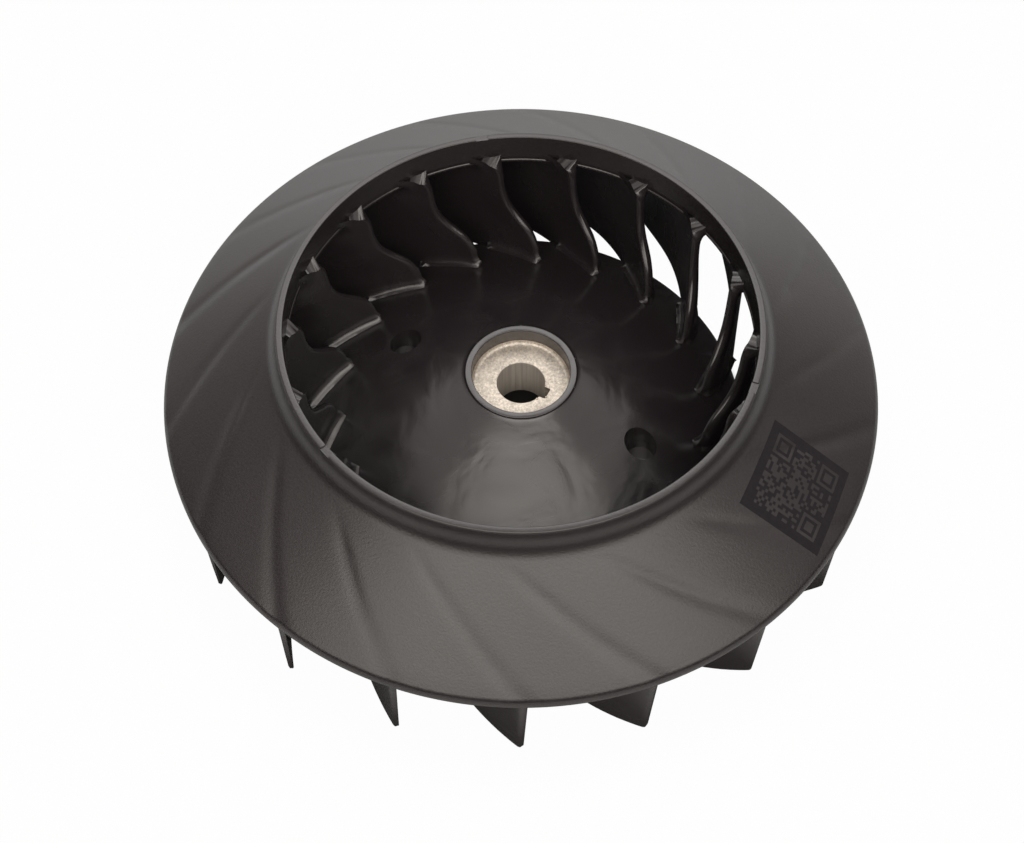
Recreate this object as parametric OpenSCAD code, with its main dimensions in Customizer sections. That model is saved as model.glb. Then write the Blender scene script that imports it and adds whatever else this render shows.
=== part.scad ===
// Closed radial fan wheel: one black moulding carried on a keyed metal hub bush.
// The axis is Z. Z = 0 is the plane of the blade tips, on which the wheel stands.
// The inlet collar is at the top, and air leaves between the blades under the rim.

/* [Wheel] */
// Outside diameter of the shroud ring
wheel_d = 325; // [300:1:350]
// Number of blades
blade_count = 18; // [9:1:24]

/* [Shroud] */
// Height of the rim's lower edge above the blade tips
rim_z = 48.6; // [42:0.1:54]
// Height of the rim's outer wall
rim_h = 4.4; // [4.2:0.1:8]
// Radius of the rounding on the rim's upper edge
rim_round = 4.3; // [0.5:0.1:4.5]
// Chamfer on the rim's lower edge
rim_chamfer = 1.2; // [0.3:0.1:1.4]
// Inside diameter of the inlet collar
collar_d = 208; // [190:0.5:220]
// Wall thickness of the collar
collar_wall = 3.3; // [2.5:0.1:4.5]
// Height of the collar's top face above the hollow at its foot
collar_rise = 2.1; // [1.2:0.1:12]
// Slope of the shroud's outer surface, in degrees
shroud_slope = 32.4; // [28:0.1:34]
// Slope of the shroud's underside, in degrees
under_slope = 30.1; // [27:0.1:31]
// Radius of the hollow between the shroud and the collar
flare_r = 13; // [8:0.5:16]

/* [Blades] */
// Thickness of a blade
blade_t = 3.2; // [2.4:0.1:4.5]
// Distance of a blade's foot inside the collar's bore
foot_in = 18.3; // [12:0.1:26]
// Distance of a blade's leading edge inside the collar's bore
lead_in = 5.6; // [4:0.1:8]
// Depth of a blade's upper end below the lower edge of the collar's bore
lead_drop = 0.9; // [0:0.1:3]
// Distance of a blade's trailing edge inside the rim, at its lower end
tip_in = 2.4; // [1.5:0.1:10]
// Distance of a blade's trailing edge inside the rim, at its upper end
trail_in = 1.3; // [0.5:0.1:8]
// Rounding on a blade's lower outer corner
tip_round = 2; // [0.5:0.1:4]
// Angle that a blade sweeps from its foot to its tip, in degrees
blade_sweep = 46.5; // [40:0.5:52]
// Radius of the arc that a blade follows, seen from above
blade_arc_r = 195; // [160:1:260]
// Direction of the first blade's tip, in degrees
tip_angle = 270.7; // [250:0.1:290]

/* [Cone] */
// Slope of the cone's upper surface, in degrees
cone_slope = 26.7; // [22:0.1:28]
// Wall thickness of the cone
cone_wall = 3.3; // [2.5:0.1:5]
// Gap in plan between the cone's edge and the collar's bore
shutoff = 0.2; // [0.1:0.1:2]
// Diameter of the two blind pockets at their mouth
pocket_d = 15; // [10:0.5:18]
// Distance of the pockets from the axis
pocket_r = 61.5; // [50:0.5:66]
// Depth of the pockets below the cone's surface
pocket_depth = 12.3; // [8:0.1:15]
// Narrowing of a pocket's radius from its mouth to its floor
pocket_taper = 1; // [0.2:0.1:2]
// Wall thickness under and round a pocket
pocket_wall = 3; // [2:0.1:4]
// Direction of the first pocket, in degrees
pocket_angle = 152.4; // [140:0.1:165]

/* [Hub] */
// Depth from the hub ring's top face down to the bush
recess_depth = 9.6; // [6:0.1:14]
// Width of the hub ring
ring_w = 3; // [2:0.1:5]
// Height by which the hub ring stands above the cone
ring_step = 0.8; // [0.3:0.1:2]
// Wall thickness of the boss below the cone
boss_wall = 4.5; // [3.5:0.1:8]

/* [Bush] */
// Outside diameter of the bush
bush_d = 45; // [40:0.5:50]
// Length of the bush
bush_l = 23; // [20:0.5:26]
// Height of the bush's lower face above the blade tips
bush_z = 24; // [21:0.1:26]
// Chamfer on the bush's outer edges
bush_chamfer = 1; // [0.4:0.1:1.5]
// Diameter of the shaft bore
bore_d = 22; // [18:0.5:26]
// Width of the keyway
key_w = 6; // [4:0.5:8]
// Depth of the keyway, from the side of the bore
key_depth = 2.8; // [2:0.1:3.5]
// Direction of the keyway, in degrees
key_angle = -27; // [-45:1:0]
// Width of the band of flats that holds the bush in the plastic
grip_w = 8; // [4:0.5:12]
// Depth of the corners between the flats
grip_depth = 0.4; // [0.3:0.1:1]

/* [Collar marks] */
// Width of each of the three trimmed gate marks
gate_w = 5.6; // [3:0.1:8]
// Depth of the gate marks
gate_depth = 0.5; // [0.2:0.1:1]
// Direction of the first gate mark, in degrees
gate_angle = 100; // [90:0.5:110]

/* [Hidden] */
$fn = 96;
plastic = "#232122";
metal = "#b9b4ab";

// Numbers of copies and of flats, and of the steps that draw a long or a short arc
gate_count = 3;
pocket_count = 2;
grip_sides = 8;
arc_steps = 8;
round_steps = 4;
// Length by which a cut or a joint reaches past a face
spare = 1;

// Small roundings and chamfers
collar_round = 0.9;
ring_chamfer = 0.4;
disc_chamfer = 0.5;
boss_chamfer = 3;

wheel_r = wheel_d / 2;
collar_r = collar_d / 2;
collar_outer_r = collar_r + collar_wall;
disc_r = collar_r - shutoff;
rim_top = rim_z + rim_h;
bush_r = bush_d / 2;
bush_top = bush_z + bush_l;
ring_z = bush_top + recess_depth;
ring_r = bush_r + ring_w;
boss_r = bush_r + boss_wall;
cone_top = ring_z - ring_step;
cone_drop = cone_wall / cos(cone_slope);

// Heights of the shroud's outer surface, underside and middle at a radius
function shroud_top(r) = rim_top + (wheel_r - r) * tan(shroud_slope);
function shroud_under(r) = rim_z + (wheel_r - rim_chamfer - r) * tan(under_slope);
function shroud_mid(r) = (shroud_top(r) + shroud_under(r)) / 2;
// Heights of the cone's upper surface, underside and middle at a radius
function cone_at(r) = cone_top - (r - ring_r) * tan(cone_slope);
function cone_under(r) = cone_at(r) - cone_drop;
function cone_mid(r) = cone_at(r) - cone_drop / 2;

// Points of an arc, from its centre, radius, first and last angle and number of steps
function arc(c, r, a0, a1, n) = [for (i = [0:n]) let (a = a0 + (a1 - a0) * i / n)
    [c[0] + r * cos(a), c[1] + r * sin(a)]];
// Points of a cubic curve through four control points
function cubic(p, n) = [for (i = [0:n]) let (t = i / n, u = 1 - t)
    u * u * u * p[0] + 3 * u * u * t * p[1] + 3 * u * t * t * p[2] + t * t * t * p[3]];

// Centre of the hollow between collar and shroud, tangent to both
flare_x = collar_outer_r + flare_r;
flare_c = [flare_x, shroud_top(flare_x) + flare_r / cos(shroud_slope)];
collar_z = flare_c[1] + collar_rise;
// Centre of the rim's rounding, tangent to the slope and to the outer wall
rim_x = wheel_r - rim_round;
rim_c = [rim_x, shroud_top(rim_x) - rim_round / cos(shroud_slope)];

// Shroud ring and inlet collar, turned about the axis
module shroud() {
    rotate_extrude()
        polygon(concat(
            [[collar_r, shroud_under(collar_r)]],
            arc([collar_r + collar_round / 2, collar_z - collar_round / 2],
                collar_round / 2, 180, 90, round_steps),
            arc([collar_outer_r - collar_round, collar_z - collar_round],
                collar_round, 90, 0, round_steps),
            arc(flare_c, flare_r, 180, 270 - shroud_slope, arc_steps),
            arc(rim_c, rim_round, 90 - shroud_slope, 0, arc_steps),
            [[wheel_r, rim_z + rim_chamfer], [wheel_r - rim_chamfer, rim_z]]
        ));
}

// Marks left on the collar's top face where the moulding's gates were trimmed
module gate_marks() {
    for (i = [0:gate_count - 1])
        rotate(gate_angle + 360 / gate_count * i)
            translate([collar_r - spare, -gate_w / 2, collar_z - gate_depth])
                cube([collar_wall + 2 * spare, gate_w, gate_depth + spare]);
}

// Centre and angles of the arc that a blade follows from its foot to its tip
foot_r = collar_r - foot_in;
tip_r = wheel_r - tip_in;
foot_p = [foot_r, 0];
tip_p = tip_r * [cos(blade_sweep), sin(blade_sweep)];
chord = tip_p - foot_p;
chord_l = norm(chord);
arc_c = (foot_p + tip_p) / 2
    + [-chord[1], chord[0]] / chord_l * sqrt(pow(blade_arc_r, 2) - pow(chord_l / 2, 2));
nose_turn = asin(blade_t / 2 / blade_arc_r);
foot_a = atan2(foot_p[1] - arc_c[1], foot_p[0] - arc_c[0]) + nose_turn;
// The strip runs past the trailing edge, which the side view then trims
tip_turn = 3;
tip_a = atan2(tip_p[1] - arc_c[1], tip_p[0] - arc_c[0]) + tip_turn;

// A blade seen from above: a curved strip with a round nose
module blade_plan() {
    nose_c = arc_c + blade_arc_r * [cos(foot_a), sin(foot_a)];
    nose_step = 180 / arc_steps;
    polygon(concat(
        arc(arc_c, blade_arc_r + blade_t / 2, foot_a, tip_a, 2 * arc_steps),
        arc(arc_c, blade_arc_r - blade_t / 2, tip_a, foot_a, 2 * arc_steps),
        arc(nose_c, blade_t / 2, foot_a + 180 + nose_step, foot_a + 360 - nose_step,
            arc_steps - 2)
    ));
}

// A blade's leading edge: radius and height of its upper end, the rounding of its corner,
// the level length beside it and the fillet up to the collar, and the lengths along which
// the edge runs straight at the top and at the foot before it bends inward
lead_r = collar_r - lead_in;
lead_z = shroud_under(collar_r) - lead_drop;
nose_r = foot_r - blade_t / 2;
lead_round = 1;
lead_level = 0.3;
lead_fillet = lead_in - lead_round - lead_level;
lead_straight = 14;
lead_bend = 31;
foot_straight = 7;
foot_bend = 26;
// A blade's lower edge: the level length beside the tip, and how far the curve back to
// the cone reaches from the tip and from the cone's edge
level_l = 2;
lower_bend = 21;
disc_bend = 21;

// A blade's side view by radius and height, turned about the axis to trim the strip:
// up the leading edge, into the collar, out inside the shroud's wall to the rim, down the
// trailing edge, and back along the lower edge to the cone
module blade_side() {
    trail_r = wheel_r - trail_in;
    level_r = tip_r - tip_round - level_l;
    polygon(concat(
        [[nose_r, cone_mid(nose_r)]],
        cubic([[nose_r, cone_at(nose_r) + foot_straight],
            [nose_r, cone_at(nose_r) + foot_bend],
            [lead_r, lead_z - lead_bend], [lead_r, lead_z - lead_straight]], arc_steps),
        arc([lead_r + lead_round, lead_z - lead_round], lead_round, 180, 90, round_steps),
        arc([collar_r - lead_fillet, lead_z + lead_fillet], lead_fillet, -90, -15,
            round_steps),
        [[collar_r + collar_wall / 2, lead_z + lead_fillet],
            [collar_outer_r, shroud_mid(collar_outer_r)],
            [trail_r, shroud_mid(trail_r)], [trail_r, rim_z]],
        arc([tip_r - tip_round, tip_round], tip_round, 0, -90, round_steps),
        cubic([[level_r, 0], [level_r - lower_bend, 0], [disc_r + disc_bend, cone_mid(disc_r)],
            [disc_r - spare, cone_mid(disc_r)]], arc_steps)
    ));
}

module blades() {
    for (i = [0:blade_count - 1])
        rotate(tip_angle - blade_sweep + 360 / blade_count * i)
            intersection() {
                linear_extrude(collar_z) blade_plan();
                rotate_extrude() blade_side();
            }
}

// Cone with the ring round the bush and the boss below it, turned about the axis
module cone() {
    rotate_extrude()
        polygon([[bush_r, bush_z], [bush_r, ring_z - ring_chamfer],
            [bush_r + ring_chamfer, ring_z], [ring_r - ring_chamfer, ring_z],
            [ring_r, ring_z - ring_chamfer], [ring_r, cone_top],
            [disc_r - disc_chamfer, cone_at(disc_r - disc_chamfer)],
            [disc_r, cone_at(disc_r) - disc_chamfer], [disc_r, cone_under(disc_r)],
            [boss_r + boss_chamfer, cone_under(boss_r + boss_chamfer)],
            [boss_r, cone_under(boss_r) - boss_chamfer], [boss_r, bush_z]]);
}

// Blind pockets in the cone, each a tapered hole with a cup of even wall below it
pocket_z = cone_at(pocket_r) - pocket_depth;
module at_pockets() {
    for (i = [0:pocket_count - 1])
        rotate(pocket_angle + 360 / pocket_count * i) translate([pocket_r, 0, 0]) children();
}
module pocket_cups() {
    cup_r = pocket_d / 2 + pocket_wall;
    cup_z = pocket_z - pocket_wall;
    in_r = pocket_r - cup_r - spare;
    out_r = pocket_r + cup_r + spare;
    intersection() {
        at_pockets() translate([0, 0, cup_z]) cylinder(h = ring_z - cup_z, r = cup_r);
        rotate_extrude()
            polygon([[in_r, cup_z - spare], [out_r, cup_z - spare], [out_r, cone_mid(out_r)],
                [in_r, cone_mid(in_r)]]);
    }
}
module pocket_holes() {
    at_pockets() translate([0, 0, pocket_z])
        cylinder(h = 2 * pocket_depth, r1 = pocket_d / 2 - pocket_taper,
            r2 = pocket_d / 2 + pocket_taper);
}

// Band between the flats on the bush and its round side. It is cut from the metal and
// filled with plastic, so the bush can neither turn nor slip in the moulding.
module grip_band() {
    translate([0, 0, bush_z + (bush_l - grip_w) / 2])
        linear_extrude(grip_w)
            difference() {
                circle(bush_r + spare);
                circle(bush_r - grip_depth, $fn = grip_sides);
            }
}

// The whole wheel: one moulding
module fan_wheel() color(plastic) {
    difference() {
        union() {
            cone();
            pocket_cups();
            grip_band();
            shroud();
            blades();
        }
        pocket_holes();
        gate_marks();
    }
}

// Cast metal bush with a bored and keyed hole for the shaft
module hub_bush() color(metal) {
    difference() {
        rotate_extrude()
            polygon([[0, bush_z], [bush_r - bush_chamfer, bush_z],
                [bush_r, bush_z + bush_chamfer], [bush_r, bush_top - bush_chamfer],
                [bush_r - bush_chamfer, bush_top], [0, bush_top]]);
        grip_band();
        translate([0, 0, bush_z - spare]) cylinder(h = bush_l + 2 * spare, r = bore_d / 2);
        rotate(key_angle) translate([0, -key_w / 2, bush_z - spare])
            cube([bore_d / 2 + key_depth, key_w, bush_l + 2 * spare]);
    }
}

fan_wheel();
hub_bush();
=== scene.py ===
import math
import random
from bisect import bisect_left

import bpy
from mathutils import Matrix, Vector


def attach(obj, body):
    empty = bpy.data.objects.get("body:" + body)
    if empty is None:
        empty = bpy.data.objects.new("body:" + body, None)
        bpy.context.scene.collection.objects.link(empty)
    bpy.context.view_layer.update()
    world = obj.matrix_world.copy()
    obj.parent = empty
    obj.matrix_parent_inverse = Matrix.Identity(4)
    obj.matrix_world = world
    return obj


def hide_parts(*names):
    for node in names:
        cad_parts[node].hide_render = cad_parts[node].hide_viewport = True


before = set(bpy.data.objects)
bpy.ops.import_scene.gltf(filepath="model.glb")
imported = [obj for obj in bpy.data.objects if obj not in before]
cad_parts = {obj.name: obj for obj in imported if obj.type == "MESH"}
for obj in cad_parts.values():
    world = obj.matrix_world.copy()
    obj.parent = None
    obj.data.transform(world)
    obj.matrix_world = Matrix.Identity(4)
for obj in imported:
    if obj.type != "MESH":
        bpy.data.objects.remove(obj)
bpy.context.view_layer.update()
bpy.ops.object.select_all(action="DESELECT")

# Shroud and inlet collar: the outer part of the one-piece moulding, in black glass-filled nylon.
# It is a ring of revolution that slopes from the rim up to the collar, with a hollow between the
# two and a bead on the collar's lower lip. The outside shows the blades as shallow sink marks.
MM = 0.001
wheel_r, rim_low, rim_top, shroud_slope = 162.5, 48.6, 53.0, math.radians(32.4)
rim_round, rim_chamfer, hollow_r = 4.3, 1.2, 13.0
collar_r, collar_out, collar_top, under_slope = 104.0, 107.3, 97.28, math.radians(30.1)
blade_count = 18


def shroud_top(r):
    return rim_top + (wheel_r - r) * math.tan(shroud_slope)


def shroud_under(r):
    return rim_low + (wheel_r - rim_chamfer - r) * math.tan(under_slope)


def arc(cx, cz, r, a0, a1, steps):
    return [(cx + r * math.cos(math.radians(a0 + (a1 - a0) * i / steps)),
             cz + r * math.sin(math.radians(a0 + (a1 - a0) * i / steps))) for i in range(steps + 1)]


def line(p, q, steps):
    return [(p[0] + (q[0] - p[0]) * i / steps, p[1] + (q[1] - p[1]) * i / steps)
            for i in range(steps + 1)]


def turn(name, profile, steps=288, sharp=35):
    """A ring turned about the axis from a closed outline of radius and height, in mm."""
    bpy.ops.object.select_all(action="DESELECT")
    x, z = profile[0]
    bpy.ops.mesh.primitive_plane_add(size=MM, location=(x * MM, 0, z * MM))
    bpy.ops.object.transform_apply(location=True)
    piece = bpy.context.object
    piece.name = piece.data.name = name
    bpy.ops.object.mode_set(mode="EDIT")
    bpy.ops.mesh.merge(type="CENTER")
    for (x0, z0), (x1, z1) in zip(profile, profile[1:] + profile[:1]):
        bpy.ops.mesh.extrude_region_move(
            TRANSFORM_OT_translate={"value": ((x1 - x0) * MM, 0, (z1 - z0) * MM)})
    bpy.ops.mesh.select_all(action="SELECT")
    bpy.ops.mesh.remove_doubles(threshold=1e-6)
    bpy.ops.mesh.select_all(action="SELECT")
    bpy.ops.mesh.spin(steps=steps, angle=2 * math.pi, center=(0, 0, 0), axis=(0, 0, 1))
    bpy.ops.mesh.select_all(action="SELECT")
    bpy.ops.mesh.remove_doubles(threshold=1e-6)
    bpy.ops.mesh.normals_make_consistent(inside=False)
    bpy.ops.object.mode_set(mode="OBJECT")
    bpy.ops.object.shade_smooth_by_angle(angle=math.radians(sharp))
    return piece


def apply_boolean(piece, tool, how):
    """Cuts a tool away from a piece, or joins it on, and removes the tool."""
    bpy.ops.object.select_all(action="DESELECT")
    bpy.context.view_layer.objects.active = piece
    mod = piece.modifiers.new(how.lower(), "BOOLEAN")
    mod.operation, mod.object, mod.solver = how, tool, "EXACT"
    bpy.ops.object.modifier_apply(modifier=mod.name)
    bpy.data.objects.remove(tool)


def hexcol(text):
    """The linear colour of an sRGB hex value."""
    c = [int(text[i:i + 2], 16) / 255 for i in (1, 3, 5)]
    return tuple(v / 12.92 if v <= 0.04045 else ((v + 0.055) / 1.055) ** 2.4 for v in c) + (1.0,)


def add(tree, kind, inputs=None, **settings):
    """Adds a node. An input takes a value or another node's output; settings are properties."""
    node = tree.nodes.new("ShaderNode" + kind)
    for key, value in settings.items():
        if hasattr(node, key):
            setattr(node, key, value)
        else:
            node.inputs[key.replace("_", " ")].default_value = value
    for key, value in (inputs or {}).items():
        if isinstance(value, bpy.types.NodeSocket):
            tree.links.new(value, node.inputs[key])
        else:
            node.inputs[key].default_value = value
    return node


def calc(tree, operation, *values):
    """The result of a Math node on numbers or other nodes' outputs."""
    return add(tree, "Math", dict(enumerate(values)), operation=operation).outputs[0]


def polar(tree):
    """Object coordinates, the distance from the axis in mm and the direction in radians."""
    place = add(tree, "TexCoord").outputs["Object"]
    axes = add(tree, "SeparateXYZ", {"Vector": place}).outputs
    across = calc(tree, "MULTIPLY", axes["Y"], axes["Y"])
    radius = calc(tree, "SQRT", calc(tree, "MULTIPLY_ADD", axes["X"], axes["X"], across))
    return place, calc(tree, "DIVIDE", radius, MM), calc(tree, "ARCTAN2", axes["Y"], axes["X"])


def new_material(name, **settings):
    """A new material with only a Principled shader, whose sockets take the settings given."""
    mat = bpy.data.materials.new(name)
    mat.use_nodes = True
    shader = mat.node_tree.nodes["Principled BSDF"]
    for key, value in settings.items():
        shader.inputs[key.replace("_", " ")].default_value = value
    return mat, mat.node_tree, shader


def blend_colours(tree, shader, factor, first, second):
    mix = add(tree, "Mix", {"Factor": factor, 6: hexcol(first), 7: hexcol(second)}, data_type="RGBA")
    tree.links.new(mix.outputs[2], shader.inputs["Base Color"])
    return mix.outputs[2]


def give(piece, mat, node=None):
    """Gives a piece its material and lets it ride on the part, in place of a solid if it has one."""
    piece.data.materials.clear()
    piece.data.materials.append(mat)
    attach(piece, "root")
    if node:
        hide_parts(node)


hollow_x = collar_out + hollow_r
hollow_z = shroud_top(hollow_x) + hollow_r / math.cos(shroud_slope)
foot_x = hollow_x - hollow_r * math.sin(shroud_slope)
round_x = wheel_r - rim_round
round_z = shroud_top(round_x) - rim_round / math.cos(shroud_slope)
bead_r = 0.9
lip_z = shroud_under(collar_r) - 0.7
shroud = turn("shroud_and_collar", (
    arc(collar_r + 0.6, lip_z, bead_r, 310, 110, 10)
    + line((collar_r, lip_z + 1.6), (collar_r, collar_top - 0.6), 6)
    + arc(collar_r + 0.5, collar_top - 0.5, 0.5, 170, 90, 3)
    + arc(collar_out - 0.9, collar_top - 0.9, 0.9, 90, 0, 5)
    + arc(hollow_x, hollow_z, hollow_r, 180, 270 - math.degrees(shroud_slope), 14)
    + line((foot_x + 3, shroud_top(foot_x + 3)), (round_x - 3, shroud_top(round_x - 3)), 8)
    + arc(round_x, round_z, rim_round, 90 - math.degrees(shroud_slope), 0, 8)
    + arc(wheel_r - rim_chamfer, rim_low + rim_chamfer, rim_chamfer, 0, -90, 4)
    + line((wheel_r - 4, shroud_under(wheel_r - 4)), (collar_r + 2.2, shroud_under(collar_r + 2.2)), 8)))

# The three moulding gates were trimmed flush on the collar's top face and left shallow notches
for angle in (100, 220, 340):
    bpy.ops.object.select_all(action="DESELECT")
    bpy.ops.mesh.primitive_cube_add(size=1, location=((collar_r + 1.65) * MM, 0, collar_top * MM))
    cut = bpy.context.object
    cut.data.transform(Matrix.Diagonal((5 * MM, 5.6 * MM, 1.0 * MM, 1)))
    cut.data.transform(Matrix.Translation(cut.location))
    cut.data.transform(Matrix.Rotation(math.radians(angle), 4, "Z"))
    cut.location = (0, 0, 0)
    apply_boolean(shroud, cut, "DIFFERENCE")
bpy.ops.object.select_all(action="DESELECT")
shroud.select_set(True)
bpy.context.view_layer.objects.active = shroud
bpy.ops.object.shade_smooth_by_angle(angle=math.radians(35))

# Glass-filled nylon, moulded against a lightly blasted tool: satin and nearly black, with fine
# grain, and a shallow groove along each blade, where the thick joint shrank as it cooled.
# Inside the collar the tool was polished.
satin, tree, shader = new_material("satin_glass_filled_nylon", Specular_IOR_Level=0.8)
place, radius, angle = polar(tree)
cloud = add(tree, "TexNoise", {"Vector": place}, Scale=14, Detail=3).outputs["Fac"]
# Where a blade lies at each radius, in blade pitches, as a curve fitted at 140 mm
out = calc(tree, "SUBTRACT", radius, 140.0)
bent = calc(tree, "MULTIPLY_ADD", out, -0.000117, 0.0236)
blade_at = calc(tree, "MULTIPLY_ADD", bent, out, 12.06)
pitches = calc(tree, "MULTIPLY", angle, blade_count / (2 * math.pi))
away = calc(tree, "PINGPONG", calc(tree, "SUBTRACT", pitches, blade_at), 0.5)
groove = calc(tree, "EXPONENT", calc(tree, "MULTIPLY", calc(tree, "MULTIPLY", away, away), -90.0))
inward = add(tree, "MapRange", {"Value": radius}, From_Min=114, From_Max=126).outputs["Result"]
uneven = add(tree, "MapRange", {"Value": cloud}, From_Min=0.3, From_Max=0.7, To_Min=0.4,
             To_Max=1.5).outputs["Result"]
sunk = calc(tree, "MULTIPLY", calc(tree, "MULTIPLY", groove, inward), uneven)
sink = add(tree, "Bump", {"Height": sunk, "Strength": 1.0, "Distance": 0.0004}, invert=True)
grain = add(tree, "TexNoise", {"Vector": place}, Scale=1000, Detail=4).outputs["Fac"]
fine = add(tree, "Bump", {"Height": grain, "Normal": sink.outputs["Normal"], "Strength": 1.0,
                          "Distance": 0.00008})
tree.links.new(fine.outputs["Normal"], shader.inputs["Normal"])
tone = calc(tree, "MULTIPLY_ADD", grain, 0.6, calc(tree, "MULTIPLY", cloud, 0.4))
tone = add(tree, "MapRange", {"Value": tone}, From_Min=0.35, From_Max=0.65).outputs["Result"]
blend_colours(tree, shader, tone, "#1a1617", "#2b2627")
outside = add(tree, "MapRange", {"Value": radius}, From_Min=104.2, From_Max=105.2, To_Min=0.16,
              To_Max=0.3).outputs["Result"]
tree.links.new(outside, shader.inputs["Roughness"])
give(shroud, satin, "fan_wheel")

# Code mark: a square laser mark on the slope, here a dummy of random cells that says nothing.
# Only the darkened cells are pieces of the mesh, laid on the cone's surface like a wrapped sheet.
mark_side, mark_cells, mark_edge, mark_lift = 43.3, 31, 3, 0.04
mark_dist, mark_turn, mark_tilt = 162.2, math.radians(-25.5), math.radians(-17.6)
bpy.ops.object.select_all(action="DESELECT")
bpy.ops.mesh.primitive_grid_add(x_subdivisions=mark_cells, y_subdivisions=mark_cells, size=1)
mark = bpy.context.object
mark.name = mark.data.name = "code_mark"
bpy.ops.object.mode_set(mode="EDIT")
bpy.ops.mesh.select_mode(type="FACE")
bpy.ops.mesh.select_all(action="DESELECT")
bpy.ops.object.mode_set(mode="OBJECT")
chance = random.Random(11)
inner = mark_cells - 2 * mark_edge
for face in mark.data.polygons:
    i = int((face.center.x + 0.5) * mark_cells) - mark_edge
    j = int((face.center.y + 0.5) * mark_cells) - mark_edge
    dark = chance.random() < 0.5
    for ci, cj in ((3, inner - 4), (inner - 4, inner - 4), (inner - 4, 3)):
        ring = max(abs(i - ci), abs(j - cj))
        if ring <= 4:
            dark = ring in (2, 4)
    face.select = not (dark or min(i, j) < 0 or max(i, j) >= inner)
for vert in mark.data.vertices:
    a, b = vert.co.x * mark_side, vert.co.y * mark_side
    x = mark_dist * math.cos(mark_turn) + a * math.cos(mark_tilt) - b * math.sin(mark_tilt)
    y = mark_dist * math.sin(mark_turn) + a * math.sin(mark_tilt) + b * math.cos(mark_tilt)
    r, az = math.hypot(x, y) * math.cos(shroud_slope), math.atan2(y, x) / math.cos(shroud_slope)
    vert.co = (r * math.cos(az) * MM, r * math.sin(az) * MM, (shroud_top(r) + mark_lift) * MM)
bpy.ops.object.mode_set(mode="EDIT")
bpy.ops.mesh.delete(type="FACE")
bpy.ops.mesh.select_mode(type="VERT")
bpy.ops.object.mode_set(mode="OBJECT")
bpy.ops.object.shade_smooth()

# Nylon that a laser has charred: darker, matt and slightly violet, and unevenly burnt.
burnt, tree, shader = new_material("laser_marked_nylon", Roughness=0.7, Specular_IOR_Level=0.2)
place, radius, angle = polar(tree)
patchy = add(tree, "TexNoise", {"Vector": place}, Scale=500, Detail=3).outputs["Fac"]
blend_colours(tree, shader, patchy, "#1a171c", "#2b272b")
give(mark, burnt)

# Hub plate: the cone that carries the blades, part of the same moulding, with the ring round
# the metal bush, the boss under it and two blind pockets. Its tool was polished, so it is glossier.
cone_slope = math.radians(24.3)
bush_r, bush_low, ring_r, ring_z, disc_r = 22.5, 24.0, 25.5, 56.6, 103.8
cone_top = ring_z - 0.8
cone_drop = 3.3 / math.cos(cone_slope)


def cone_at(r):
    return cone_top - (r - ring_r) * math.tan(cone_slope)


cone = turn("hub_plate", (
    line((bush_r, bush_low), (bush_r, ring_z - 0.5), 4)
    + arc(bush_r + 0.4, ring_z - 0.4, 0.4, 180, 90, 3)
    + arc(ring_r - 0.4, ring_z - 0.4, 0.4, 90, 0, 3)
    + [(ring_r + 0.15, cone_top + 0.1), (ring_r + 0.6, cone_at(ring_r + 0.6))]
    + line((ring_r + 2, cone_at(ring_r + 2)), (disc_r - 2, cone_at(disc_r - 2)), 24)
    + arc(disc_r - 0.5, cone_at(disc_r - 0.5) - 0.5, 0.5, 65, 0, 3)
    + [(disc_r, cone_at(disc_r) - cone_drop + 0.2), (disc_r - 0.3, cone_at(disc_r) - cone_drop)]
    + line((disc_r - 3, cone_at(disc_r - 3) - cone_drop), (30, cone_at(30) - cone_drop), 8)
    + [(27.6, cone_at(27) - cone_drop - 1.2), (27, cone_at(27) - cone_drop - 3), (27, bush_low)]),
    steps=240)

# Two blind pockets, each a tapered hole in a cup under the plate
pocket_dist, pocket_deep, pocket_low_r, pocket_top_r, cup_r = 61.5, 13.0, 6.5, 8.5, 10.5
for angle in (152.4, 332.4):
    a = math.radians(angle)
    at = (pocket_dist * math.cos(a) * MM, pocket_dist * math.sin(a) * MM)
    floor_z, high = cone_at(pocket_dist) - pocket_deep, 2 * pocket_deep
    bpy.ops.object.select_all(action="DESELECT")
    bpy.ops.mesh.primitive_cylinder_add(vertices=64, radius=cup_r * MM, depth=20 * MM,
                                        location=(at[0], at[1], (floor_z - 3 + 10) * MM))
    cup = bpy.context.object
    bpy.ops.object.select_all(action="DESELECT")
    bpy.ops.mesh.primitive_cone_add(
        vertices=64, radius1=pocket_low_r * MM, radius2=pocket_top_r * MM, depth=high * MM,
        location=(at[0], at[1], (floor_z + high / 2) * MM))
    drill = bpy.context.object
    # The cup is cut off along the cone's wall before it joins the plate
    for v in cup.data.vertices:
        if v.co.z > 0:
            w = cup.matrix_world @ v.co
            v.co.z += (cone_at(math.hypot(w.x, w.y) / MM) - 1.8) * MM - w.z
    apply_boolean(cone, cup, "UNION")
    apply_boolean(cone, drill, "DIFFERENCE")

# Nubs of flash stand on the ring's outer edge
nubs = [cone]
for angle, size in ((90, 0.55), (16, 0.45), (-20, 0.4), (142, 0.35)):
    a = math.radians(angle)
    bpy.ops.object.select_all(action="DESELECT")
    r = ring_r + 0.1
    bpy.ops.mesh.primitive_ico_sphere_add(
        subdivisions=2, radius=size * MM,
        location=(r * math.cos(a) * MM, r * math.sin(a) * MM, (cone_top + 0.3) * MM))
    nubs.append(bpy.context.object)
bpy.ops.object.select_all(action="DESELECT")
for piece in nubs:
    piece.select_set(True)
bpy.context.view_layer.objects.active = cone
bpy.ops.object.join()
bpy.ops.object.shade_smooth_by_angle(angle=math.radians(32))

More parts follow.
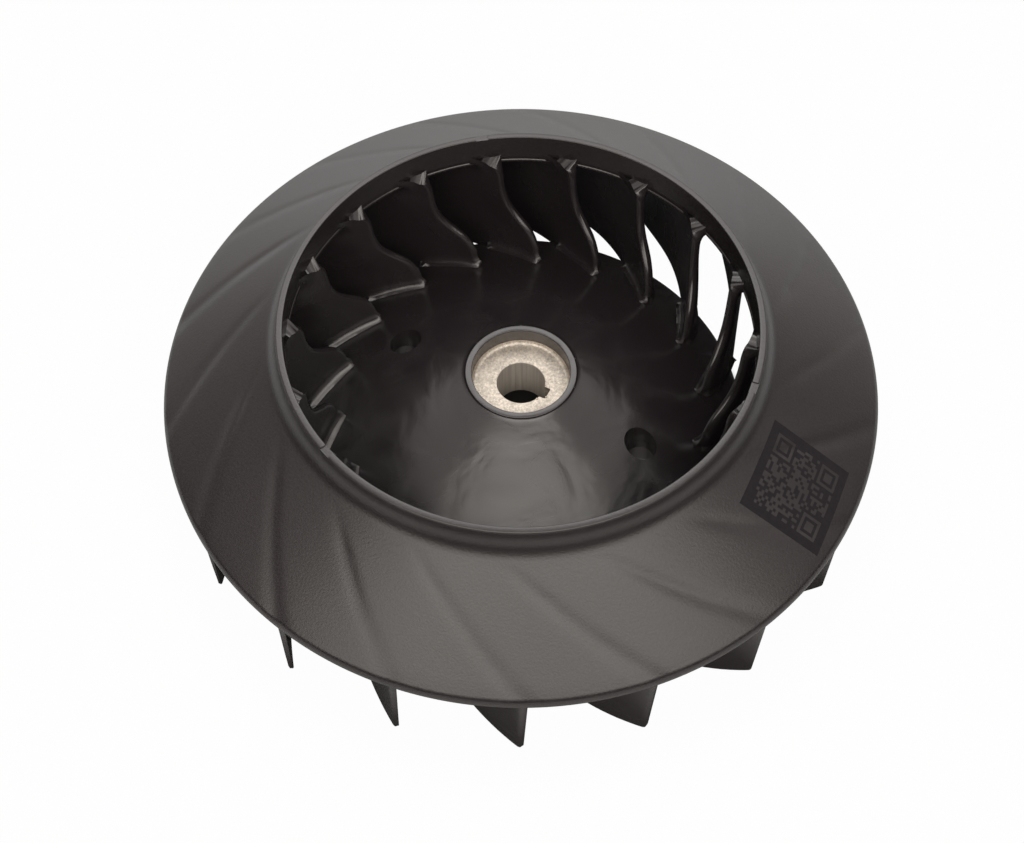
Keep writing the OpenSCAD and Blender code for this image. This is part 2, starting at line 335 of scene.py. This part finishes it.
# The same nylon from a polished tool: darker and glossier, with soft flow waves that break up
# the reflections, and fine dust.
gloss, tree, shader = new_material("polished_glass_filled_nylon", Specular_IOR_Level=1.0)
place, radius, angle = polar(tree)
flow = add(tree, "TexNoise", {"Vector": place}, Scale=38, Detail=2.5, Roughness=0.45, Distortion=0.6)
grain = add(tree, "TexNoise", {"Vector": place}, Scale=1200, Detail=3)
wavy = add(tree, "Bump", {"Height": flow.outputs["Fac"], "Strength": 1.0, "Distance": 0.0009})
fine = add(tree, "Bump", {"Height": grain.outputs["Fac"], "Normal": wavy.outputs["Normal"],
                          "Strength": 0.5, "Distance": 0.00004})
tree.links.new(fine.outputs["Normal"], shader.inputs["Normal"])
tone = add(tree, "MapRange", {"Value": flow.outputs["Fac"]}, From_Min=0.3, From_Max=0.7,
           To_Min=0.2, To_Max=0.3)
tree.links.new(tone.outputs["Result"], shader.inputs["Roughness"])
blend_colours(tree, shader, grain.outputs["Fac"], "#1c181a", "#272224")
give(cone, gloss, "fan_wheel")

# Blades: eighteen curved vanes moulded with the cone and the shroud. Each stands on the cone and
# runs out under the shroud to the rim. It has an S-shaped leading edge inside the collar, a
# small sloped shelf on top there, a square trailing edge and fillets where it meets a wall.
foot_r, tip_r, sweep, bow_r = 85.7, 160.1, math.radians(46.5), 195.0
foot_p, tip_p = Vector((foot_r, 0)), Vector((tip_r * math.cos(sweep), tip_r * math.sin(sweep)))
chord = tip_p - foot_p
bow_c = (foot_p + tip_p) / 2 + Vector((-chord.y, chord.x)).normalized() * math.sqrt(
    bow_r ** 2 - (chord.length / 2) ** 2)
bow_d, bow_a = bow_c.length, math.atan2(bow_c.y, bow_c.x)


def blade_angle(r):
    """Direction of the blade's middle line at a radius: an arc with a slight bulge clockwise."""
    arc_a = bow_a - math.acos((r * r + bow_d ** 2 - bow_r ** 2) / (2 * r * bow_d))
    return arc_a - math.radians(height_on(bulge, r))


def fillet(d, r):
    """How far a fillet of radius r stands out at distance d from the wall."""
    return r - math.sqrt(max(r * r - (r - max(d, 0.0)) ** 2, 0.0)) if d < r else 0.0


def rounded(d, r, least):
    """How much of the full thickness an edge rounded by r has at distance d from it."""
    return max(math.sqrt(max(1 - (1 - min(max(d, 0.0) / r, 1)) ** 2, 0.0)), least)


def smooth_curve(points):
    """A fine polyline along a smooth curve through the given points."""
    fine_pts = []
    p = [points[0]] + list(points) + [points[-1]]
    for a, b, c, d in zip(p, p[1:], p[2:], p[3:]):
        for i in range(12):
            t = i / 12
            fine_pts.append(tuple(
                0.5 * (2 * b[k] + (c[k] - a[k]) * t + (2 * a[k] - 5 * b[k] + 4 * c[k] - d[k]) * t * t
                       + (3 * b[k] - a[k] - 3 * c[k] + d[k]) * t ** 3) for k in (0, 1)))
    return fine_pts + [tuple(points[-1])]


def measured(points):
    """A polyline with the length that lies before each of its points."""
    total = [0.0]
    for p, q in zip(points, points[1:]):
        total.append(total[-1] + math.dist(p, q))
    return points, total


def point_at(path, share):
    """The point at a share of a measured polyline's length."""
    points, total = path
    goal = min(max(share, 0.0), 1.0) * total[-1]
    i = max(bisect_left(total, goal) - 1, 0)
    f = (goal - total[i]) / max(total[i + 1] - total[i], 1e-9)
    return tuple(points[i][k] + (points[i + 1][k] - points[i][k]) * f for k in (0, 1))


def height_on(points, r):
    """Height of a polyline at a radius."""
    for (r0, z0), (r1, z1) in zip(points, points[1:]):
        if r0 <= r <= r1:
            return z0 + (z1 - z0) * (r - r0) / max(r1 - r0, 1e-9)
    return points[0][1] if r < points[0][0] else points[-1][1]


# Degrees by which the blade's middle runs clockwise of the arc, at each radius
bulge = smooth_curve([(85, 0), (88, 0.75), (92, 1.4), (98, 1.8), (108, 1.75), (122, 1.35), (140, 0.65),
                      (161, 0.15)])


def trail_at(z):
    """Radius of the trailing edge at a height."""
    return 159.4 + 1.3 * min(max(z - 2, 0) / (rim_low - 2), 1)


under_lip = lip_z - bead_r
outer_foot_r, inner_foot_r, head_r, web_r, web_drop = 3.2, 5.0, 3.6, 4.4, 8.0


def stand_out(r, z, outer, half):
    """How far the fillets stand out from the blade's outer or inner face at a place on it."""
    foot = head = 0.0
    side = 0.8 if outer else -0.8
    low_fillet = outer_foot_r if outer else inner_foot_r
    # A fillet moves the face towards or away from the wall, so its size is found step by step
    for _ in range(8):
        low_r, high_r = r + side * (half + foot), r + side * (half + head)
        low_gap = (z - cone_at(low_r)) * math.cos(cone_slope)
        if high_r >= collar_r:
            high_gap = (shroud_under(high_r) - z) * math.cos(under_slope)
        else:
            high_gap = math.hypot(collar_r - high_r, max(under_lip - z, 0))
        foot = (foot + fillet(low_gap, low_fillet)) / 2 if r < disc_r else 0.0
        head = (head + fillet(high_gap, head_r)) / 2
    if outer and r < collar_r:
        # The outer face meets the collar at a sharp angle, which is filled nearly up to the nose
        along = (9.2 - (collar_r - r) / 0.6) / 3.9
        web = web_r * (1 - math.sqrt(max(1 - min(max(along, 0), 1) ** 2, 0)))
        head = max(head, web * fillet(under_lip - z, web_drop) / web_drop if z < under_lip else web)
    return foot, head


lead_line = measured(smooth_curve([
    (86.3, cone_at(86) - 0.4), (86.0, cone_at(86) + 1.5), (85.8, 33), (86.6, 39.5), (88.9, 46.2),
    (93.0, 51.8), (96.3, 58), (97.9, 66), (98.4, 72), (98.7, 77), (99.3, 80), (100.4, 82.3)]))
shelf = smooth_curve([(100.4, 82.3), (101.4, 83.4), (102.6, 84.5), (103.5, 85.4), (104.0, 86.3)])
top_line = measured(shelf + [(105.2, 86.4), (109, 86.4)] + [
    (r, shroud_under(r) + 0.5) for r in (111, 113, 120, 130, 140, 150, 158)] + [
    (160.6, shroud_under(160.6))])
trail_line = measured([(158.9, 0.6), (159.3, 1.2), (159.4, 2.0)] + [
    (trail_at(z), z) for z in (8, 16, 24, 32, 40, 46)] + [(160.6, shroud_under(160.6))])
low_line = measured([(86.3, cone_at(86) - 0.4)] + [
    (r, cone_at(r) - 0.3) for r in (88, 92, 96, 100, 103)] + [
    (103.7, 18.8), (104.0, 17.6)] + [
    tuple((1 - t) ** 3 * a + 3 * (1 - t) ** 2 * t * b + 3 * (1 - t) * t * t * c + t ** 3 * d
          for a, b, c, d in zip((104.4, 17.2), (124.8, 16.6), (135.1, 0), (155.6, 0)))
    for t in [i / 14 for i in range(15)]] + [(157.5, 0.0), (158.3, 0.2), (158.9, 0.6)])
blade_run, nose_draft = 78, 2.6
low_steps = [0, 0.4, 0.8, 1.2, 1.6, 2.0, 2.4, 2.8, 3.3, 3.9, 4.7, 5.8, 7.2]
top_steps = [6, 4.2, 2.9, 1.9, 1.2, 0.7, 0.3, 0]
columns = [0, 0.001, 0.0035, 0.008, 0.014, 0.022, 0.032] + [0.032 + 0.0115 * i for i in range(1, 12)] + [
    0.1585 + 0.7915 * i / 28 for i in range(1, 28)] + [0.95, 0.972, 0.986, 0.994, 0.998, 1]
row_count = len(low_steps) + 13 + len(top_steps)
bpy.ops.object.select_all(action="DESELECT")
bpy.ops.mesh.primitive_grid_add(x_subdivisions=len(columns) - 1, y_subdivisions=row_count - 1, size=1)
blade = bpy.context.object
blade.name = blade.data.name = "blades"
mod = blade.modifiers.new("wall", "SOLIDIFY")
mod.thickness, mod.offset = 0.01, 0
bpy.ops.object.modifier_apply(modifier="wall")
# The flat grid's two faces are bent into the blade's outer and inner face
for v in blade.data.vertices:
    i = round((v.co.x + 0.5) * (len(columns) - 1))
    j = round((v.co.y + 0.5) * (row_count - 1))
    outer = v.co.z > 0
    g = columns[i]
    tall = (1 - g) * lead_line[1][-1] + g * trail_line[1][-1]
    if j < len(low_steps):
        h = low_steps[j] / tall
    elif j >= row_count - len(top_steps):
        h = 1 - top_steps[j - row_count] / tall
    else:
        first, last = low_steps[-1] / tall, 1 - top_steps[0] / tall
        h = first + (last - first) * (j - len(low_steps) + 1) / 14
    edges = (point_at(lead_line, h), point_at(trail_line, h), point_at(low_line, g), point_at(top_line, g))
    ends = (lead_line[0][0], trail_line[0][0], lead_line[0][-1], trail_line[0][-1])
    r, z = ((1 - g) * edges[0][k] + g * edges[1][k] + (1 - h) * edges[2][k] + h * edges[3][k]
            - (1 - g) * (1 - h) * ends[0][k] - g * (1 - h) * ends[1][k]
            - (1 - g) * h * ends[2][k] - g * h * ends[3][k] for k in (0, 1))
    past = min(max((r - 105) / 55, 0), 1)
    half = (1 - past) * (1.65 + 0.5 * z / 80) + past * (1.15 + 0.35 * z / 45)
    foot, head = stand_out(r, z, outer, half)
    if g < 0.05:
        r -= min(foot, 1.2) * (1 - g / 0.05)
    if outer:
        # Near the nose the outer face has draft, so the blade is thicker at the cone
        half += (nose_draft * min(max(80 - z, 0) / 60, 1) * (1 - min(max((r - 102) / 14, 0), 1))
                 * min(g / 0.06, 1))
    fillets = max(foot, head * min((1 - g) / 0.08, 1)) * min(g / 0.008 + 0.3, 1)
    half = half * rounded(g * blade_run, 1.8, 0.25) + fillets
    if r > disc_r:
        half *= rounded(h * tall, 1.2, 0.2)
    half *= rounded((1 - g) * blade_run, 0.5, 0.75)
    a = blade_angle(r)
    place = Vector((r * math.cos(a), r * math.sin(a)))
    place += (place - bow_c).normalized() * (half if outer else -half)
    # The shelf at the top is a surface of revolution, so its height follows the true radius
    near_top = max(1 - (1 - h) * tall / 4, 0)
    if r < 113:
        z += near_top * (height_on(top_line[0], place.length) - height_on(top_line[0], r))
    # The trailing edge is trimmed by a surface of revolution, so no corner stands past it
    place *= min(1, trail_at(z) / place.length)
    v.co = (place.x * MM, place.y * MM, z * MM)
bpy.ops.object.mode_set(mode="EDIT")
bpy.ops.mesh.select_all(action="SELECT")
bpy.ops.mesh.normals_make_consistent(inside=False)
bpy.ops.object.mode_set(mode="OBJECT")
bpy.ops.object.shade_smooth_by_angle(angle=math.radians(50))
copies = [blade]
for k in range(1, blade_count):
    bpy.ops.object.select_all(action="DESELECT")
    blade.select_set(True)
    bpy.context.view_layer.objects.active = blade
    bpy.ops.object.duplicate()
    other = bpy.context.object
    other.data.transform(Matrix.Rotation(2 * math.pi * k / blade_count, 4, "Z"))
    copies.append(other)
for piece in copies:
    piece.select_set(True)
bpy.context.view_layer.objects.active = blade
bpy.ops.object.join()
blade.data.transform(Matrix.Rotation(math.radians(270.7) - sweep, 4, "Z"))
give(blade, gloss, "fan_wheel")

# Hub bush: a cast metal ring moulded into the plastic, with a bored hole and one keyway for
# the shaft. Its face is blasted and runs up to a thin lip at the plastic, and its bore is reamed.
bore_r, bush_top = 11.0, 47.0
bush = turn("bush", (
    line((bore_r, bush_low + 0.4), (bore_r, bush_top - 0.4), 4)
    + arc(bore_r + 0.4, bush_top - 0.4, 0.4, 170, 90, 3)
    + line((bore_r + 2, bush_top), (bush_r - 2.5, bush_top), 3)
    + arc(bush_r - 1.9, bush_top + 1.9, 1.9, -90, -12, 6)
    + [(bush_r, bush_top + 1.9), (bush_r, bush_low + 0.5), (bush_r - 0.5, bush_low)]
    + line((bore_r + 3, bush_low), (bore_r + 0.4, bush_low), 1)), steps=144)
bpy.ops.object.select_all(action="DESELECT")
bpy.ops.mesh.primitive_cube_add(size=1)
key = bpy.context.object
key.data.transform(Matrix.Diagonal((13.8 * MM, 6 * MM, 30 * MM, 1)))
key.data.transform(Matrix.Translation((6.9 * MM, 0, 35 * MM)))
key.data.transform(Matrix.Rotation(math.radians(-27), 4, "Z"))
soft_edge = key.modifiers.new("soft", "BEVEL")
soft_edge.width, soft_edge.segments = 0.7 * MM, 3
bpy.ops.object.modifier_apply(modifier="soft")
apply_boolean(bush, key, "DIFFERENCE")
# Burrs that the tools raised on the edges of the bore and the keyway
burrs = [bush]
for angle, r, size in ((117, 11.2, 0.45), (-35, 13.9, 0.5), (-51, 11.4, 0.55), (-8, 11.5, 0.35),
                       (60, 11.3, 0.3)):
    a = math.radians(angle)
    bpy.ops.object.select_all(action="DESELECT")
    bpy.ops.mesh.primitive_ico_sphere_add(
        subdivisions=2, radius=size * MM,
        location=(r * math.cos(a) * MM, r * math.sin(a) * MM, bush_top * MM))
    burrs.append(bpy.context.object)
bpy.ops.object.select_all(action="DESELECT")
for piece in burrs:
    piece.select_set(True)
bpy.context.view_layer.objects.active = bush
bpy.ops.object.join()
bpy.ops.object.shade_smooth_by_angle(angle=math.radians(32))

# Cast aluminium, blasted on the face to a granular warm grey; in the bore the reamer left
# fine lines along the axis, and it is duller than the face.
metal, tree, shader = new_material("blasted_cast_aluminium", Metallic=1.0)
place, radius, angle = polar(tree)
speck = add(tree, "TexNoise", {"Vector": place}, Scale=900, Detail=5, Roughness=0.7).outputs["Fac"]
patch = add(tree, "TexNoise", {"Vector": place}, Scale=160, Detail=2).outputs["Fac"]
drawn = add(tree, "Mapping", {"Vector": place}, Scale=(1, 1, 0.03)).outputs[0]
lines = add(tree, "TexNoise", {"Vector": drawn}, Scale=900, Detail=3).outputs["Fac"]
lines = calc(tree, "MULTIPLY_ADD", lines, 0.25, 0.27)
on_face = add(tree, "MapRange", {"Value": radius}, From_Min=11.05, From_Max=11.3).outputs["Result"]
mixed = calc(tree, "MULTIPLY_ADD", speck, 0.75, calc(tree, "MULTIPLY", patch, 0.25))
pick = add(tree, "Mix", {"Factor": on_face, 2: lines, 3: mixed}).outputs[0]
spread = add(tree, "MapRange", {"Value": pick}, From_Min=0.35, From_Max=0.65).outputs["Result"]
blend_colours(tree, shader, spread, "#a59e95", "#efe5d8")
rough = add(tree, "MapRange", {"Value": on_face}, To_Min=0.62, To_Max=0.55).outputs["Result"]
tree.links.new(rough, shader.inputs["Roughness"])
bare = add(tree, "MapRange", {"Value": on_face}, To_Min=0.45, To_Max=1.0).outputs["Result"]
tree.links.new(bare, shader.inputs["Metallic"])
pits = add(tree, "Bump", {"Height": pick, "Strength": 1.0, "Distance": 0.00008})
tree.links.new(pits.outputs["Normal"], shader.inputs["Normal"])
give(bush, metal, "hub_bush")

# Studio: a pale floor, whose colour has a painted shadow under and round the wheel, and a plain white
# room. A large soft lamp hangs round the camera, of three overlapping sheets so that its edges fade, with
# a smaller one above it. Two weak ones stand behind the wheel, one low and one overhead.
room_shine = 0.84
bpy.ops.object.select_all(action="DESELECT")
bpy.ops.mesh.primitive_plane_add(size=12, location=(0, 0, 0))
floor = bpy.context.object
floor.name = "floor"
paper, tree, shader = new_material("pale_paper", Roughness=0.9)
place, radius, angle = polar(tree)
# Painted shadow: the floor's colour is dark under the wheel and just past its rim, and fades to pale by
# 182 mm. This stands in for the wheel's shadow where the blades, the rim and the bore show the floor.
painted_shadow_under_wheel = add(tree, "MapRange", {"Value": radius}, From_Min=162, From_Max=182).outputs["Result"]
blend_colours(tree, shader, painted_shadow_under_wheel, "#5a5a5a", "#d6d6d6")
path = add(tree, "LightPath").outputs
beyond = add(tree, "MapRange", {"Value": radius}, From_Min=104, From_Max=112).outputs["Result"]
clear = add(tree, "MapRange", {"Value": radius}, From_Min=220, From_Max=520).outputs["Result"]
behind = add(tree, "SeparateXYZ", {"Vector": place}).outputs["Y"]
behind = add(tree, "MapRange", {"Value": behind}, From_Min=-0.1, From_Max=0.2).outputs["Result"]
clear = calc(tree, "MULTIPLY", clear, behind)
# The floor itself shows white to the camera, and in reflections only far behind the wheel
direct = calc(tree, "MAXIMUM", path["Is Camera Ray"], path["Is Transmission Ray"])
mirrored = calc(tree, "MULTIPLY", path["Is Glossy Ray"], room_shine)
seen = calc(tree, "MULTIPLY", beyond, direct)
seen = calc(tree, "MAXIMUM", seen, calc(tree, "MULTIPLY", clear, mirrored))
seen = calc(tree, "MULTIPLY", seen, 0.98)
white = add(tree, "Emission", {"Strength": 1.0})
mix = add(tree, "MixShader", {0: seen, 1: shader.outputs[0], 2: white.outputs[0]})
tree.links.new(mix.outputs[0], tree.nodes["Material Output"].inputs["Surface"])
floor.data.materials.append(paper)


def lamp(name, size, place, power, colour):
    data = bpy.data.lights.new(name, "AREA")
    data.shape, data.size, data.size_y, data.energy = "RECTANGLE", size[0], size[1], power
    data.color = colour
    obj = bpy.data.objects.new(name, data)
    bpy.context.scene.collection.objects.link(obj)
    obj.location = place
    aim = Vector((0, 0, 0.05)) - obj.location
    obj.rotation_euler = aim.to_track_quat("-Z", "Y").to_euler()


warm = (1.0, 0.955, 0.885)
for i, (wide, high, power) in enumerate(((3.4, 0.80, 12.0), (2.8, 0.60, 10.5), (2.0, 0.44, 8.0))):
    lamp("key_%d" % i, (wide, high), (0.06, -1.00, 1.18), power, warm)
lamp("high", (1.5, 0.7), (0.05, -0.6, 1.4), 4.2, warm)
lamp("back", (2.4, 0.5), (0, 1.9, 0.45), 1.8, (1, 1, 1))
lamp("over", (1.4, 0.5), (0, 0.75, 1.05), 3.4, (1, 1, 1))
world = bpy.data.worlds.new("room")
world.use_nodes = True
bpy.context.scene.world = world
tree = world.node_tree
path = add(tree, "LightPath").outputs
seen = calc(tree, "MAXIMUM", path["Is Camera Ray"], path["Is Glossy Ray"])
seen = calc(tree, "MAXIMUM", seen, path["Is Transmission Ray"])
# In reflections the room is bright overhead and behind the wheel, and dark behind the camera
ways = add(tree, "SeparateXYZ", {"Vector": add(tree, "TexCoord").outputs["Generated"]}).outputs
over = add(tree, "MapRange", {"Value": ways["Z"]}, From_Min=0.3, From_Max=0.65,
           To_Max=0.72).outputs["Result"]
away = add(tree, "MapRange", {"Value": ways["Y"]}, From_Min=-0.3, From_Max=0.95).outputs["Result"]
room = calc(tree, "MULTIPLY", calc(tree, "MULTIPLY_ADD", away, away, over), room_shine)
lit = add(tree, "Mix", {"Factor": path["Is Glossy Ray"], 2: 1.0, 3: room}).outputs[0]
strength = add(tree, "Mix", {"Factor": seen, 2: 0.2, 3: lit})
back = tree.nodes["Background"]
tint = add(tree, "Mix", {"Factor": path["Is Glossy Ray"], 6: (1, 1, 1, 1), 7: hexcol("#fff8f2")},
           data_type="RGBA")
tree.links.new(tint.outputs[2], back.inputs["Color"])
tree.links.new(strength.outputs[0], back.inputs["Strength"])

# Camera: where the photograph was taken from, 0.85 m away and 57 degrees above the wheel.
camera = bpy.data.objects.new("camera", bpy.data.cameras.new("camera"))
bpy.context.scene.collection.objects.link(camera)
camera.location = (0, -0.4720, 0.7519)
camera.rotation_euler = (math.radians(32.60), 0, 0)
camera.data.sensor_width = 36
camera.data.lens = 1846.8 / 1024 * 36
camera.data.shift_x = -9 / 1024
camera.data.clip_start = 0.05
bpy.context.scene.camera = camera
bpy.context.scene.view_settings.view_transform = "Standard"
